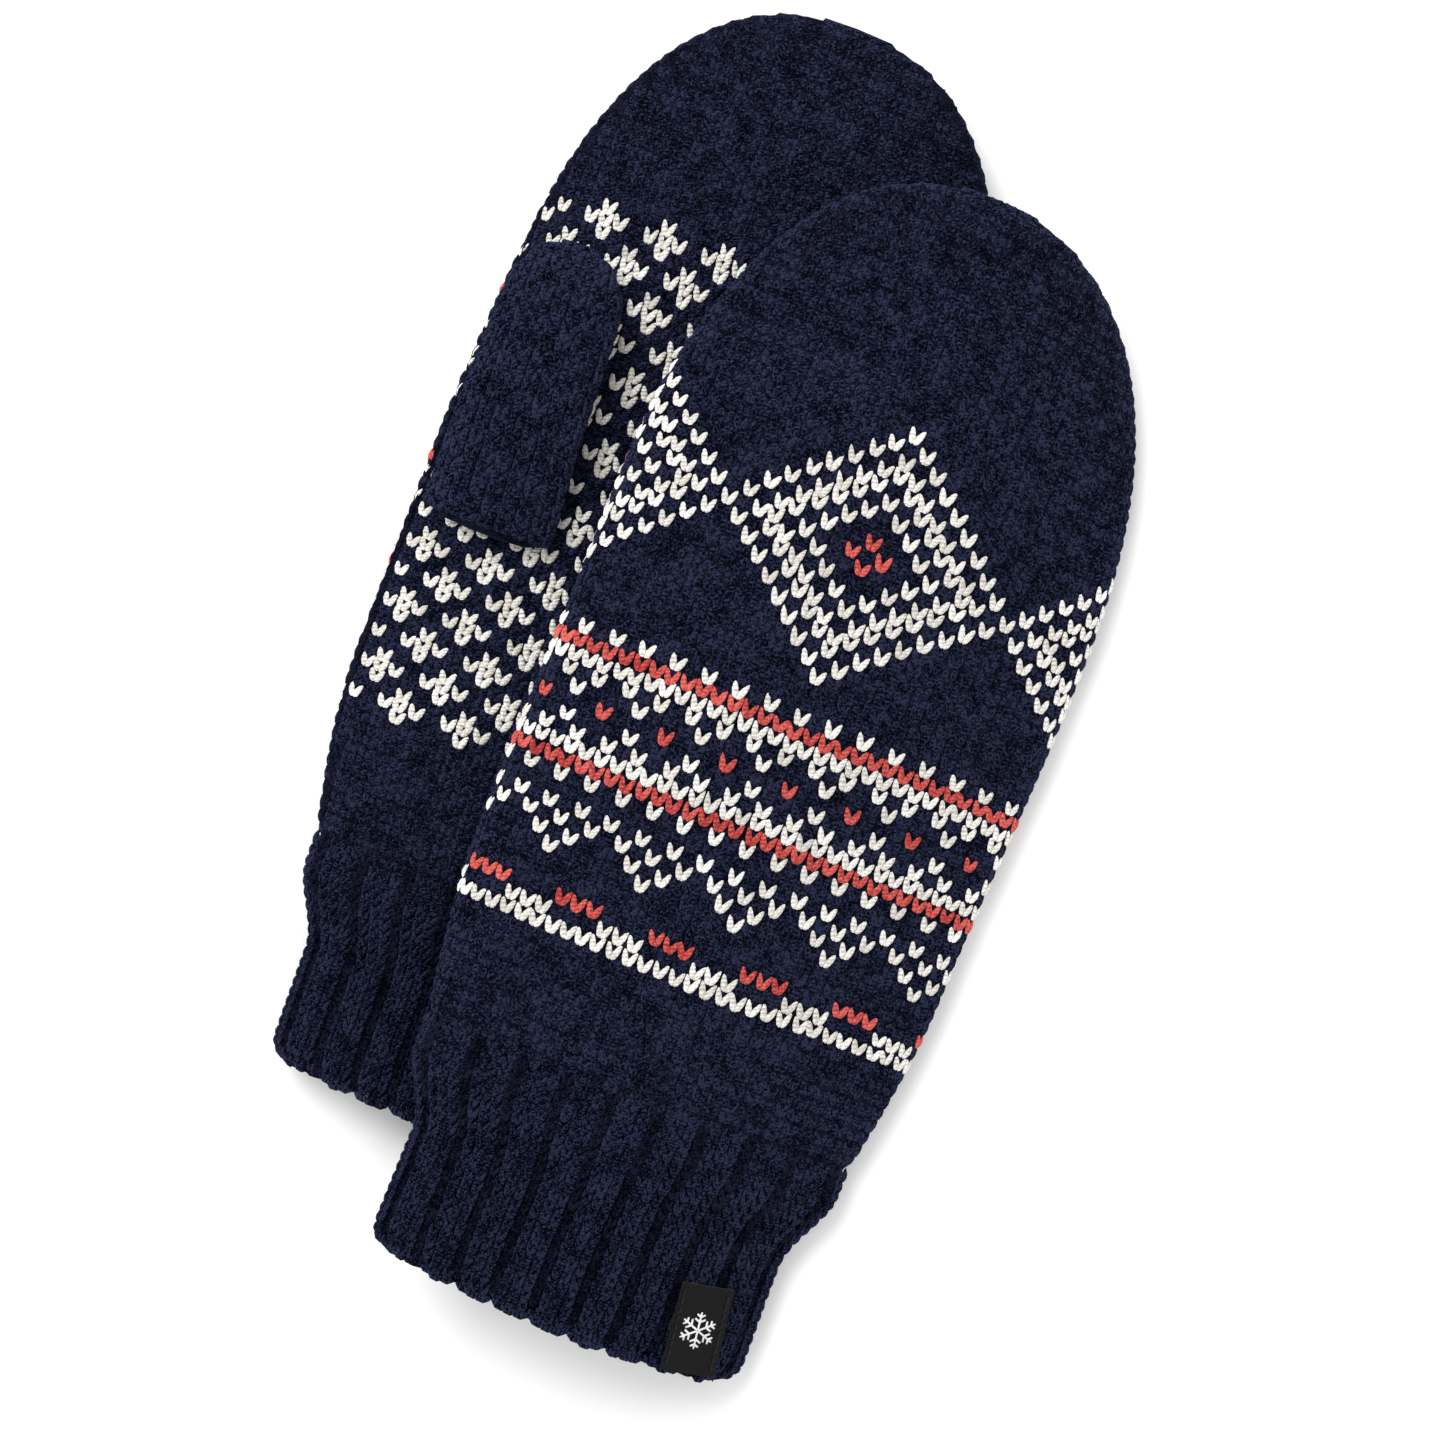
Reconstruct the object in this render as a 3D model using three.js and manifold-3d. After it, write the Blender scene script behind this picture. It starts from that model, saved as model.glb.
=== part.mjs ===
// A pair of adult knitted mittens lying one on the other, in millimetres, +Z up.
// Each mitten is made flat in its own frame: x across, y from the cuff's hem to the fingertip,
// z = 0 midway through its thickness, palm towards +z and thumb at -x. The left one lies palm up.
// The right one is its mirror in z, draped over the left one.
import * as THREE from 'three';
import { mergeVertices } from 'three/addons/utils/BufferGeometryUtils.js';
import Module from 'manifold-3d';

const wasm = await Module();
wasm.setup();

// Hand part
const handWidth = 110.5;
const handLength = 214.8; // cuff seam to fingertip
const tipLength = 90; // rounded end of the hand part
const tipPower = 2.3; // 2 is an ellipse, more is a blunter end
const seamWidth = 99.8; // width at the cuff seam
const swellLength = 45; // from the cuff seam to full width
const swellPower = 1.6;
const mittenThickness = 18;
const seamThickness = 16; // thickness of the mitten at the cuff seam
const thicknessRun = 30; // length over which it thickens from the seam
const sectionPower = 2.6; // 2 is an ellipse, more is a flatter cushion
const restCut = 0.4; // how much the left mitten's own weight flattens its underside

// Fabric
const knitWall = 2.4;
const liningWall = 1.3;
const pieceGap = 0.3;
const edgeSeamHeight = 0.6; // side seam between the back and palm panels
const cuffSeamLength = 1.2;

// Cuff
const cuffLength = 51;
const cuffTopWidth = 101;
const cuffHemWidth = 88;
const cuffFlareStart = 28; // height over the hem where the cuff starts to widen
const cuffFlareLength = 19;
const cuffThickness = 16.4;
const cuffWall = 3.2;
const cuffRibs = 18;
const ribDepth = 1.2;
const cuffLift = 0.4; // lower cuff's clearance over the table

// Thumb
const thumbWidth = 29;
const thumbLength = 68;
const thumbThickness = 13;
const thumbTipLength = 18;
const thumbTipPower = 2.2;
const thumbBaseRound = 5;
const thumbBasePower = 3;
const thumbStart = 78; // thumb's lower edge, above the cuff seam
const thumbRise = 0.4; // clearance between the thumb and what it lies on
const thumbHoleWidth = 18;
const thumbHoleLength = 15;
const thumbHoleInset = 5; // from the thumb's lower edge to the hole
const thumbSeamWall = 1;

// Woven label on the right cuff
const labelWidth = 15;
const labelLength = 20.5;
const labelThickness = 0.9;
const labelFromEdge = 2.2; // cuff's edge to the label's nearest side
const labelHemGap = 0.2;
const labelStitchInset = 1.2;
const labelStitchWidth = 0.6;
const labelStitchHeight = 0.4;

// How the pair lies
const pairShiftX = 41.1;
const pairShiftY = 26.8;
const leftTurn = 0.9; // degrees
const pairGap = 0.5;
const rightThumbFlattening = 0.65; // the hidden thumb is pressed to this share of its thickness
const palmDent = 3.7; // how far the hidden thumb presses into the right palm
const dentMargin = 16;
const plateauMargin = 10;
const drapeLength = 50; // how far across the right mitten slopes down to the table
const drapeEdge = 6; // level stretch at its outer edge
const edgeSag = 2.8;

// Where each thumb lies
const leftThumbPlace = { centre: -34.5, lean: -5.5 };
const rightThumbPlace = { centre: -38, lean: 0 };

// Mesh fineness
const bodyRows = 9;
const tipRows = 6;
const faceColumns = 12;
const thumbSides = 16;
const thumbBodyRows = 3;
const thumbEndRows = 4;
const cuffRows = 5;
const holeSides = 20;
const patchSteps = 4;
const ringSteps = 720; // fine steps that even spacing round a section is measured on

const halfThickness = mittenThickness / 2;
const thickestHalf = Math.max(mittenThickness, cuffThickness, seamThickness) / 2;
const leftMiddle = Math.max(halfThickness - restCut, cuffThickness / 2 + cuffLift);
const leftTop = leftMiddle + thickestHalf;
const rim = edgeSeamHeight / 2 + pieceGap;
const handStart = cuffLength + cuffSeamLength / 2 + pieceGap;
const shoulder = cuffLength + handLength - tipLength;
const lastRow = bodyRows + tipRows;

const smooth = (share) => {
  const part = Math.min(1, Math.max(0, share));
  return part * part * (3 - 2 * part);
};

const cushion = (level) => Math.max(0, 1 - Math.abs(level) ** sectionPower) ** (1 / sectionPower);

function handHalfWidth(y) {
  const share = Math.min(1, (y - cuffLength) / swellLength);
  return (seamWidth + (handWidth - seamWidth) * (1 - (1 - share) ** swellPower)) / 2;
}

function handHalfThickness(y) {
  const share = smooth((y - cuffLength) / thicknessRun);
  return (seamThickness + (mittenThickness - seamThickness) * share) / 2;
}

function cuffHalfWidth(y) {
  const flare = smooth((y - cuffFlareStart) / cuffFlareLength);
  return (cuffHemWidth + (cuffTopWidth - cuffHemWidth) * flare) / 2;
}

// A closed geometry from loose vertices and triangles: doubles merged, faces pointing out.
function closedGeometry(points, triangles) {
  const loose = new THREE.BufferGeometry();
  loose.setAttribute('position', new THREE.Float32BufferAttribute(points.flatMap((p) => p.toArray()), 3));
  loose.setIndex(triangles.flat());
  const merged = mergeVertices(loose, 1e-3);
  const index = merged.getIndex().array;
  const kept = [];
  for (let i = 0; i < index.length; i += 3) {
    const [a, b, c] = [index[i], index[i + 1], index[i + 2]];
    if (a !== b && b !== c && c !== a) kept.push(a, b, c);
  }
  merged.setIndex(kept);
  return facingOut(merged);
}

function signedVolume(geometry) {
  const position = geometry.getAttribute('position');
  const index = geometry.getIndex().array;
  const corner = (i) => new THREE.Vector3().fromBufferAttribute(position, index[i]);
  let volume = 0;
  for (let i = 0; i < index.length; i += 3) {
    volume += corner(i).dot(corner(i + 1).cross(corner(i + 2))) / 6;
  }
  return volume;
}

function facingOut(geometry) {
  if (signedVolume(geometry) < 0) {
    const index = geometry.getIndex().array;
    for (let i = 0; i < index.length; i += 3) {
      [index[i], index[i + 1]] = [index[i + 1], index[i]];
    }
  }
  return geometry;
}

// A wall between two grids of the same size, closed round its border.
// A grid that is closed around has no side borders.
function wallBetween(outer, inner, around = false) {
  const rows = outer.length;
  const columns = outer[0].length;
  const points = [...outer.flat(), ...inner.flat()];
  const outerAt = (row, column) => row * columns + (column % columns);
  const innerAt = (row, column) => rows * columns + outerAt(row, column);
  const triangles = [];
  const quad = (a, b, c, d) => triangles.push([a, b, c], [a, c, d]);
  const spans = around ? columns : columns - 1;
  for (let row = 0; row < rows - 1; row += 1) {
    for (let column = 0; column < spans; column += 1) {
      const next = column + 1;
      // Every quad is split along the diagonal that leans to +x, so that layers stay parallel.
      const rightward = outer[0][next % columns].x >= outer[0][column].x;
      for (const at of [outerAt, innerAt]) {
        const [a, b, c, d] = [at(row, column), at(row, next), at(row + 1, next), at(row + 1, column)];
        const [p, q, r, s] = rightward ? [a, b, c, d] : [b, c, d, a];
        if (at === outerAt) quad(p, q, r, s);
        else quad(p, s, r, q);
      }
    }
  }
  for (let column = 0; column < spans; column += 1) {
    const next = column + 1;
    const top = rows - 1;
    quad(outerAt(0, column), innerAt(0, column), innerAt(0, next), outerAt(0, next));
    quad(outerAt(top, column), outerAt(top, next), innerAt(top, next), innerAt(top, column));
  }
  if (!around) {
    const last = columns - 1;
    for (let row = 0; row < rows - 1; row += 1) {
      quad(outerAt(row, 0), outerAt(row + 1, 0), innerAt(row + 1, 0), innerAt(row, 0));
      quad(innerAt(row, last), innerAt(row + 1, last), outerAt(row + 1, last), outerAt(row, last));
    }
  }
  return closedGeometry(points, triangles);
}

function toSolid(geometry) {
  const position = geometry.getAttribute('position');
  const index = geometry.getIndex().array;
  return new wasm.Manifold(new wasm.Mesh({
    numProp: 3,
    vertProperties: Float32Array.from(position.array),
    triVerts: Uint32Array.from(index),
  }));
}

function toGeometry(solid) {
  const mesh = solid.getMesh();
  const geometry = new THREE.BufferGeometry();
  geometry.setAttribute('position', new THREE.Float32BufferAttribute(Array.from(mesh.vertProperties), 3));
  geometry.setIndex(Array.from(mesh.triVerts));
  return geometry;
}

const cutFrom = (geometry, cutter) => toGeometry(toSolid(geometry).subtract(toSolid(cutter)));

// One row across the hand part. The rows past the shoulder close the fingertip.
function handRow(row, inset) {
  if (row <= bodyRows) {
    const y = handStart + ((shoulder - handStart) * row) / bodyRows;
    return { y, halfWidth: handHalfWidth(y) - inset };
  }
  const angle = ((Math.PI / 2) * (row - bodyRows)) / tipRows;
  const across = row === lastRow ? 0 : Math.cos(angle) ** (2 / tipPower);
  const along = Math.sin(angle) ** (2 / tipPower);
  return { y: shoulder + (tipLength - inset) * along, halfWidth: (handWidth / 2 - inset) * across };
}

// Height of the cushioned surface over the mid plane, without the side seam's share.
function handHeight(x, row, inset) {
  const { y, halfWidth } = handRow(row, inset);
  const past = Math.max(0, y - shoulder) / (tipLength - inset);
  const across = Math.abs(row <= bodyRows ? x / halfWidth : x / (handWidth / 2 - inset));
  const level = (across ** tipPower + past ** tipPower) ** (1 / tipPower);
  return (handHalfThickness(y) - rim - inset) * cushion(level);
}

const acrossShare = (column) => Math.sin((Math.PI / 2) * ((2 * column) / faceColumns - 1));

function handGrid(inset, height) {
  return Array.from({ length: lastRow + 1 }, (_, row) => {
    const { y, halfWidth } = handRow(row, inset);
    return Array.from({ length: faceColumns + 1 }, (__, column) => {
      const x = halfWidth * acrossShare(column);
      return new THREE.Vector3(x, y, height(handHeight(x, row, inset)));
    });
  });
}

// A back or palm panel: a cushioned knit sheet whose flat rim meets the side seam.
function panelGeometry(side, flatAt = Infinity) {
  const surface = (height) => side * Math.min(flatAt, rim + height);
  return wallBetween(handGrid(0, surface), handGrid(knitWall, surface));
}

// The seam that links the two panels, from the cuff seam round the fingertip and back.
function sideSeamGeometry() {
  const edge = (inset, z) => {
    const side = (sign) => Array.from({ length: lastRow + 1 }, (_, row) => {
      const { y, halfWidth } = handRow(row, inset);
      return new THREE.Vector3(sign * halfWidth, y, z);
    });
    return [...side(-1), ...side(1).reverse().slice(1)];
  };
  const band = (z) => {
    const [outer, inner] = [edge(0, z), edge(knitWall, z)];
    return outer.map((point, i) => [point, inner[i]]);
  };
  return wallBetween(band(edgeSeamHeight / 2), band(-edgeSeamHeight / 2));
}

// Rings run along the palm face from -x to +x, then back along the other face.
function handLiningGeometry() {
  const ringsAt = (inset) => {
    const palm = handGrid(inset, (height) => height);
    return palm.map((points) => {
      const back = points.slice(1, -1).reverse().map((p) => new THREE.Vector3(p.x, p.y, -p.z));
      return [...points, ...back];
    });
  };
  const outerInset = knitWall + pieceGap;
  return wallBetween(ringsAt(outerInset), ringsAt(outerInset + liningWall), true);
}

// Points spaced evenly round a cushioned section.
function sectionRing(halfWidth, halfHeight, count, y) {
  const fine = Array.from({ length: ringSteps + 1 }, (_, i) => {
    const angle = (2 * Math.PI * i) / ringSteps;
    const [c, s] = [Math.cos(angle), Math.sin(angle)];
    const bend = (value) => Math.sign(value) * Math.abs(value) ** (2 / sectionPower);
    return new THREE.Vector3(halfWidth * bend(c), y, halfHeight * bend(s));
  });
  const lengths = [0];
  for (let i = 1; i < fine.length; i += 1) lengths.push(lengths[i - 1] + fine[i].distanceTo(fine[i - 1]));
  const total = lengths[lengths.length - 1];
  return Array.from({ length: count }, (_, k) => {
    const target = (total * k) / count;
    const after = Math.max(1, lengths.findIndex((length) => length >= target));
    const share = (target - lengths[after - 1]) / (lengths[after] - lengths[after - 1]);
    return fine[after - 1].clone().lerp(fine[after], share);
  });
}

// Ribs are raised wales with grooves between them, two ring points to a rib.
function cuffRing(y, inset, ribbed) {
  return sectionRing(cuffHalfWidth(y) - inset, cuffThickness / 2 - inset, cuffRibs * 2, y)
    .map((point, i) => {
      const groove = ribbed && i % 2 === 1 ? ribDepth : 0;
      const inward = new THREE.Vector3(
        -point.x / cuffHalfWidth(y) ** 2, 0, -point.z / (cuffThickness / 2) ** 2);
      return point.addScaledVector(inward.normalize(), groove);
    });
}

function cuffGeometry() {
  const top = cuffLength - cuffSeamLength / 2 - pieceGap;
  const heights = Array.from({ length: cuffRows + 1 }, (_, row) => (top * row) / cuffRows);
  return wallBetween(
    heights.map((y) => cuffRing(y, 0, true)),
    heights.map((y) => cuffRing(y, cuffWall, false)),
    true,
  );
}

function cuffSeamGeometry() {
  const ends = [cuffLength - cuffSeamLength / 2, cuffLength + cuffSeamLength / 2];
  const ringAt = (inset) => ends.map((y) => (
    sectionRing(seamWidth / 2 - inset, seamThickness / 2 - inset, cuffRibs * 2, y)));
  return wallBetween(ringAt(0), ringAt(knitWall), true);
}

// One ring of the thumb: half an ellipse closes each end.
function thumbSections(inset) {
  const length = thumbLength - 2 * inset;
  const tip = thumbTipLength - inset / 2;
  const base = thumbBaseRound;
  const rounding = (share, power) => Math.max(0, 1 - share ** power) ** (1 / power);
  const sections = [];
  for (let i = 0; i < thumbEndRows; i += 1) {
    const angle = ((Math.PI / 2) * i) / thumbEndRows;
    sections.push({
      y: inset + base * (1 - Math.cos(angle)), size: rounding(Math.cos(angle), thumbBasePower) });
  }
  for (let i = 0; i <= thumbBodyRows; i += 1) {
    sections.push({ y: inset + base + ((length - base - tip) * i) / thumbBodyRows, size: 1 });
  }
  for (let i = 1; i <= thumbEndRows; i += 1) {
    const angle = ((Math.PI / 2) * i) / thumbEndRows;
    const size = rounding(Math.sin(angle), thumbTipPower);
    sections.push({ y: inset + length - tip * (1 - Math.sin(angle)), size });
  }
  return sections;
}

// The thumb lies along y with its lower edge at y = 0 and its centre line leaning by the given amount.
function thumbWall(inset, wall, lean) {
  const rings = (depth) => thumbSections(depth).map(({ y, size }) => {
    const centre = (lean * y) / thumbLength;
    return sectionRing(thumbWidth / 2 - depth, thumbThickness / 2 - depth, thumbSides, y)
      .map((point) => point.set(centre + size * point.x, y, size * point.z));
  });
  return wallBetween(rings(inset), rings(inset + wall), true);
}

function ovalPlug(width, length, fromZ, toZ, x, y) {
  const plug = new THREE.CylinderGeometry(0.5, 0.5, toZ - fromZ, holeSides);
  plug.deleteAttribute('normal');
  plug.deleteAttribute('uv');
  plug.rotateX(Math.PI / 2);
  plug.scale(width, length, 1);
  plug.translate(x, y, (fromZ + toZ) / 2);
  return facingOut(mergeVertices(plug));
}

// Ring that finishes the edge of the palm's thumb hole.
function thumbSeamGeometry(place) {
  const hole = thumbHolePlace(place);
  const top = rim + (halfThickness - rim) * cushion(hole.x / (handWidth / 2)) - pieceGap;
  const oval = (wall, z) => Array.from({ length: holeSides }, (_, i) => {
    const angle = (2 * Math.PI * i) / holeSides;
    const [rx, ry] = [thumbHoleWidth / 2 - pieceGap - wall, thumbHoleLength / 2 - pieceGap - wall];
    return new THREE.Vector3(hole.x + rx * Math.cos(angle), hole.y + ry * Math.sin(angle), z);
  });
  const ends = [top - knitWall, top];
  return wallBetween(ends.map((z) => oval(0, z)), ends.map((z) => oval(thumbSeamWall, z)), true);
}

function thumbHolePlace(place) {
  const along = thumbHoleInset + thumbHoleLength / 2;
  return { x: place.centre + (place.lean * along) / thumbLength, y: cuffLength + thumbStart + along, along };
}

const cuffHeight = (x, y) => (cuffThickness / 2) * cushion(x / cuffHalfWidth(y));

// A patch that follows the cuff's back face, at -z, from one height over it to another.
function cuffPatch(fromX, toX, fromY, toY, low, high) {
  const grid = (over) => Array.from({ length: patchSteps + 1 }, (_, row) => (
    Array.from({ length: patchSteps + 1 }, (__, column) => {
      const x = fromX + ((toX - fromX) * column) / patchSteps;
      const y = fromY + ((toY - fromY) * row) / patchSteps;
      return new THREE.Vector3(x, y, -cuffHeight(x, y) - over);
    })
  ));
  return wallBetween(grid(high), grid(low));
}

const wool = (color, roughness = 0.95) => new THREE.MeshStandardMaterial({ color, roughness, metalness: 0 });

const navyWool = wool(0x191e3e);
const patternWool = wool(0x3d4160);
const seamWool = wool(0x12152e);
const liningFleece = wool(0x23252f, 1);
const labelWeave = wool(0x0b0b0d, 0.7);
const labelThread = wool(0xd8d8d8, 0.7);

function piece(name, geometry, material) {
  geometry.computeVertexNormals();
  const mesh = new THREE.Mesh(geometry, material);
  mesh.name = name;
  return mesh;
}

// Everything of one mitten but its thumb, as geometry by part name. The lay function shapes each
// flat piece to how the mitten lies, before the thumb's hole is cut.
function mittenGeometries(place, backFlatAt, lay) {
  const hole = thumbHolePlace(place);
  const plug = lay(ovalPlug(thumbHoleWidth, thumbHoleLength, 0, mittenThickness, hole.x, hole.y));
  return {
    back_panel: lay(panelGeometry(-1, backFlatAt)),
    palm_panel: cutFrom(lay(panelGeometry(1)), plug),
    side_seam: lay(sideSeamGeometry()),
    cuff: lay(cuffGeometry()),
    cuff_seam: lay(cuffSeamGeometry()),
    hand_lining: cutFrom(lay(handLiningGeometry()), plug),
    thumb_seam: lay(thumbSeamGeometry(place)),
  };
}

// The thumb's pieces in its own frame: y = 0 at the lower edge, opening towards -z.
function thumbGeometries(place) {
  const hole = thumbHolePlace(place);
  const x = (place.lean * hole.along) / thumbLength;
  const plug = ovalPlug(thumbHoleWidth, thumbHoleLength, -thumbThickness, 0, x, hole.along);
  const inset = knitWall + pieceGap;
  return {
    thumb: cutFrom(thumbWall(0, knitWall, place.lean), plug),
    thumb_lining: cutFrom(thumbWall(inset, liningWall, place.lean), plug),
  };
}

const partMaterials = {
  back_panel: patternWool,
  palm_panel: patternWool,
  side_seam: seamWool,
  cuff: navyWool,
  cuff_seam: seamWool,
  hand_lining: liningFleece,
  thumb_seam: seamWool,
  thumb: navyWool,
  thumb_lining: liningFleece,
};

function leftMitten() {
  const mitten = new THREE.Group();
  const geometries = mittenGeometries(leftThumbPlace, halfThickness - restCut, (flat) => flat);
  for (const [name, geometry] of Object.entries(geometries)) {
    mitten.add(piece(`left_${name}`, geometry, partMaterials[name]));
  }
  const thumb = new THREE.Group();
  for (const [name, geometry] of Object.entries(thumbGeometries(leftThumbPlace))) {
    thumb.add(piece(`left_${name}`, geometry, partMaterials[name]));
  }
  const thumbMiddle = halfThickness + thumbRise + thumbThickness / 2;
  thumb.position.set(leftThumbPlace.centre, cuffLength + thumbStart, thumbMiddle);
  mitten.add(thumb);
  const middle = (cuffLength + handLength) / 2;
  const turn = THREE.MathUtils.degToRad(leftTurn);
  mitten.rotation.z = turn;
  mitten.position.set(middle * Math.sin(turn), middle * (1 - Math.cos(turn)), leftMiddle);
  return mitten;
}

const rightThumbThickness = thumbThickness * rightThumbFlattening;
const stackHeight = leftTop + pairGap + thickestHalf;
const hump = rightThumbThickness + 2 * thumbRise - palmDent + halfThickness - thickestHalf;

// 1 over the hidden thumb, easing to 0 round it.
function overThumb(x, y) {
  const reach = plateauMargin + dentMargin;
  const low = cuffLength + thumbStart - reach;
  const high = cuffLength + thumbStart + thumbLength + reach;
  const right = rightThumbPlace.centre + thumbWidth / 2 + reach;
  return smooth((right - x) / dentMargin) * smooth((y - low) / dentMargin) * smooth((high - y) / dentMargin);
}

// Height of the right mitten's mid plane over the table.
function drapeHeight(x, y) {
  const outerLevel = handWidth / 2 - drapeEdge;
  const low = halfThickness - edgeSag;
  return low + (stackHeight - low) * smooth((outerLevel - x) / drapeLength) + hump * overThumb(x, y);
}

// Turns a flat piece over, presses its palm side in over the thumb and lays it over the left mitten.
function draped(geometry) {
  const position = geometry.getAttribute('position');
  for (let i = 0; i < position.count; i += 1) {
    const [x, y, z] = [position.getX(i), position.getY(i), position.getZ(i)];
    const pressed = z > 0 ? z * (1 - (palmDent * overThumb(x, y)) / halfThickness) : z;
    position.setZ(i, drapeHeight(x, y) - pressed);
  }
  return facingOut(geometry);
}

function rightMitten() {
  const mitten = new THREE.Group();
  for (const [name, geometry] of Object.entries(mittenGeometries(rightThumbPlace, Infinity, draped))) {
    mitten.add(piece(`right_${name}`, geometry, partMaterials[name]));
  }
  const thumb = new THREE.Group();
  for (const [name, geometry] of Object.entries(thumbGeometries(rightThumbPlace))) {
    geometry.scale(1, 1, -rightThumbFlattening);
    thumb.add(piece(`right_${name}`, facingOut(geometry), partMaterials[name]));
  }
  const palmUnder = stackHeight + hump - (halfThickness - palmDent);
  const thumbHeight = palmUnder - thumbRise - rightThumbThickness / 2;
  thumb.position.set(rightThumbPlace.centre, cuffLength + thumbStart, thumbHeight);
  mitten.add(thumb);

  const labelRight = cuffHemWidth / 2 - labelFromEdge;
  const labelLeft = labelRight - labelWidth;
  const labelTop = labelHemGap + labelLength;
  const labelOver = pieceGap + labelThickness;
  const label = cuffPatch(labelLeft, labelRight, labelHemGap, labelTop, pieceGap, labelOver);
  mitten.add(piece('label', draped(label), labelWeave));
  const stitchLow = labelOver + pieceGap;
  const stitchTop = labelTop - labelStitchInset;
  const stitchBase = labelHemGap + labelStitchInset;
  const stitches = {
    label_stitch_inner: labelLeft + labelStitchInset,
    label_stitch_outer: labelRight - labelStitchInset - labelStitchWidth,
  };
  for (const [name, x] of Object.entries(stitches)) {
    const stitch = cuffPatch(
      x, x + labelStitchWidth, stitchBase, stitchTop, stitchLow, stitchLow + labelStitchHeight);
    mitten.add(piece(name, draped(stitch), labelThread));
  }
  mitten.position.set(pairShiftX, -pairShiftY, 0);
  return mitten;
}

const pair = new THREE.Group();
pair.add(leftMitten(), rightMitten());
pair.updateMatrixWorld(true);
const bounds = new THREE.Box3().setFromObject(pair, true);
const centre = bounds.getCenter(new THREE.Vector3());
pair.position.set(-centre.x, -centre.y, -bounds.min.z);

const mittens = new THREE.Group();
mittens.add(pair);
export default mittens;
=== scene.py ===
import math

import bmesh
import bpy
import numpy as np
from mathutils import Matrix, Vector


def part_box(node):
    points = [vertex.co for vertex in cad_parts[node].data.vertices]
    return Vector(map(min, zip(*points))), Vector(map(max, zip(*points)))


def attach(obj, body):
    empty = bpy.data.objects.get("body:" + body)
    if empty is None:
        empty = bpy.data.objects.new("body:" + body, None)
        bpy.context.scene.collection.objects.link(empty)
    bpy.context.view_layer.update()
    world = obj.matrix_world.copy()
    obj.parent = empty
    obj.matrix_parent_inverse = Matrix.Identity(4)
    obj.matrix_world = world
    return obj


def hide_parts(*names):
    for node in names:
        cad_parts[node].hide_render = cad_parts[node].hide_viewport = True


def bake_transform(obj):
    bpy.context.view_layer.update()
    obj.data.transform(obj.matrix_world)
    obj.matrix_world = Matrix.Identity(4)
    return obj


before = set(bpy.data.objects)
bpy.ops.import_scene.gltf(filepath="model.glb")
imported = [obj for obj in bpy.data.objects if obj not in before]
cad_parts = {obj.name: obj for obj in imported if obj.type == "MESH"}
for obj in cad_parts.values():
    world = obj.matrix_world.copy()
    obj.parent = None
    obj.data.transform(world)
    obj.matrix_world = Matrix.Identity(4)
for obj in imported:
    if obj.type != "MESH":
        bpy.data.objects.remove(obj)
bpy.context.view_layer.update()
print("frame loaded")

# All mitten sizes are in millimetres. Each mitten is laid out flat, x across, y from the hem to the
# fingertip and z through its thickness with the palm towards +z, and then laid in place.
hand = {
    "width": 110.5,
    "length": 214.8,
    "tip": 90,
    "tipPower": 2.3,
    "seamWidth": 99.8,
    "swell": 45,
    "swellPower": 1.6,
    "thickness": 18,
    "seamThickness": 16,
    "thicknessRun": 30,
    "sectionPower": 2.6,
    "seamPinch": 1.5,  # how much the knit draws in at the cuff seam
    "pinchRun": 6,
}
cuff = {
    "length": 51,
    "topWidth": 101,
    "hemWidth": 88,
    "flareStart": 28,
    "flare": 19,
    "thickness": 16.2,
    "corner": 6,
    "ribs": 5,  # from the middle of a face to its edge
    "ribDepthTop": 0.05,
    "ribDepthHem": 2.5,
    "ribFade": 5,  # plain run below the seam before the ribs show
    "ribRun": 24,
    "unevenRibs": 0.28,
    "hemScallop": 0.9,
    "row": 2.5,
    "ridge": 0.75,  # share of a rib that is raised
    "ridgeWales": 3,
    "topPinch": 0.9,  # how much the ribbing draws in at its seam
    "topPinchRun": 3.5,
    "rowStart": 0.55,
    "ridgeFall": 0.6,  # share of the rib's depth that a ridge's sides fall
    "grooveWave": (0.2, 0.21, 2.1),
    "grooveSpread": 1.15,
    "hemAt": 0.3,
    "hemLoops": (1.8, 2, 1.2),  # size of the hem's loops: on ridges, in grooves and along
    "shell": (1.3, 3.2),
    "mouthRows": 9,  # inner knit that shows in the open mouth
    "mouthWale": 3.4,
    "mouthMargin": 4,
    "mouthRise": 0.8,
    "foldRun": 9,  # span either side of its seam for where a turned-up cuff would bend
}
thumb = {
    "width": 29,
    "length": 68,
    "thickness": 13,
    "tip": 18,
    "tipPower": 2.2,
    "base": 5,
    "basePower": 3,
    "start": 78,
    "rise": 0.4,
    "wale": 3.6,
    "wales": 6,  # either side of the middle one
    "row": 3.45,
}
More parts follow.
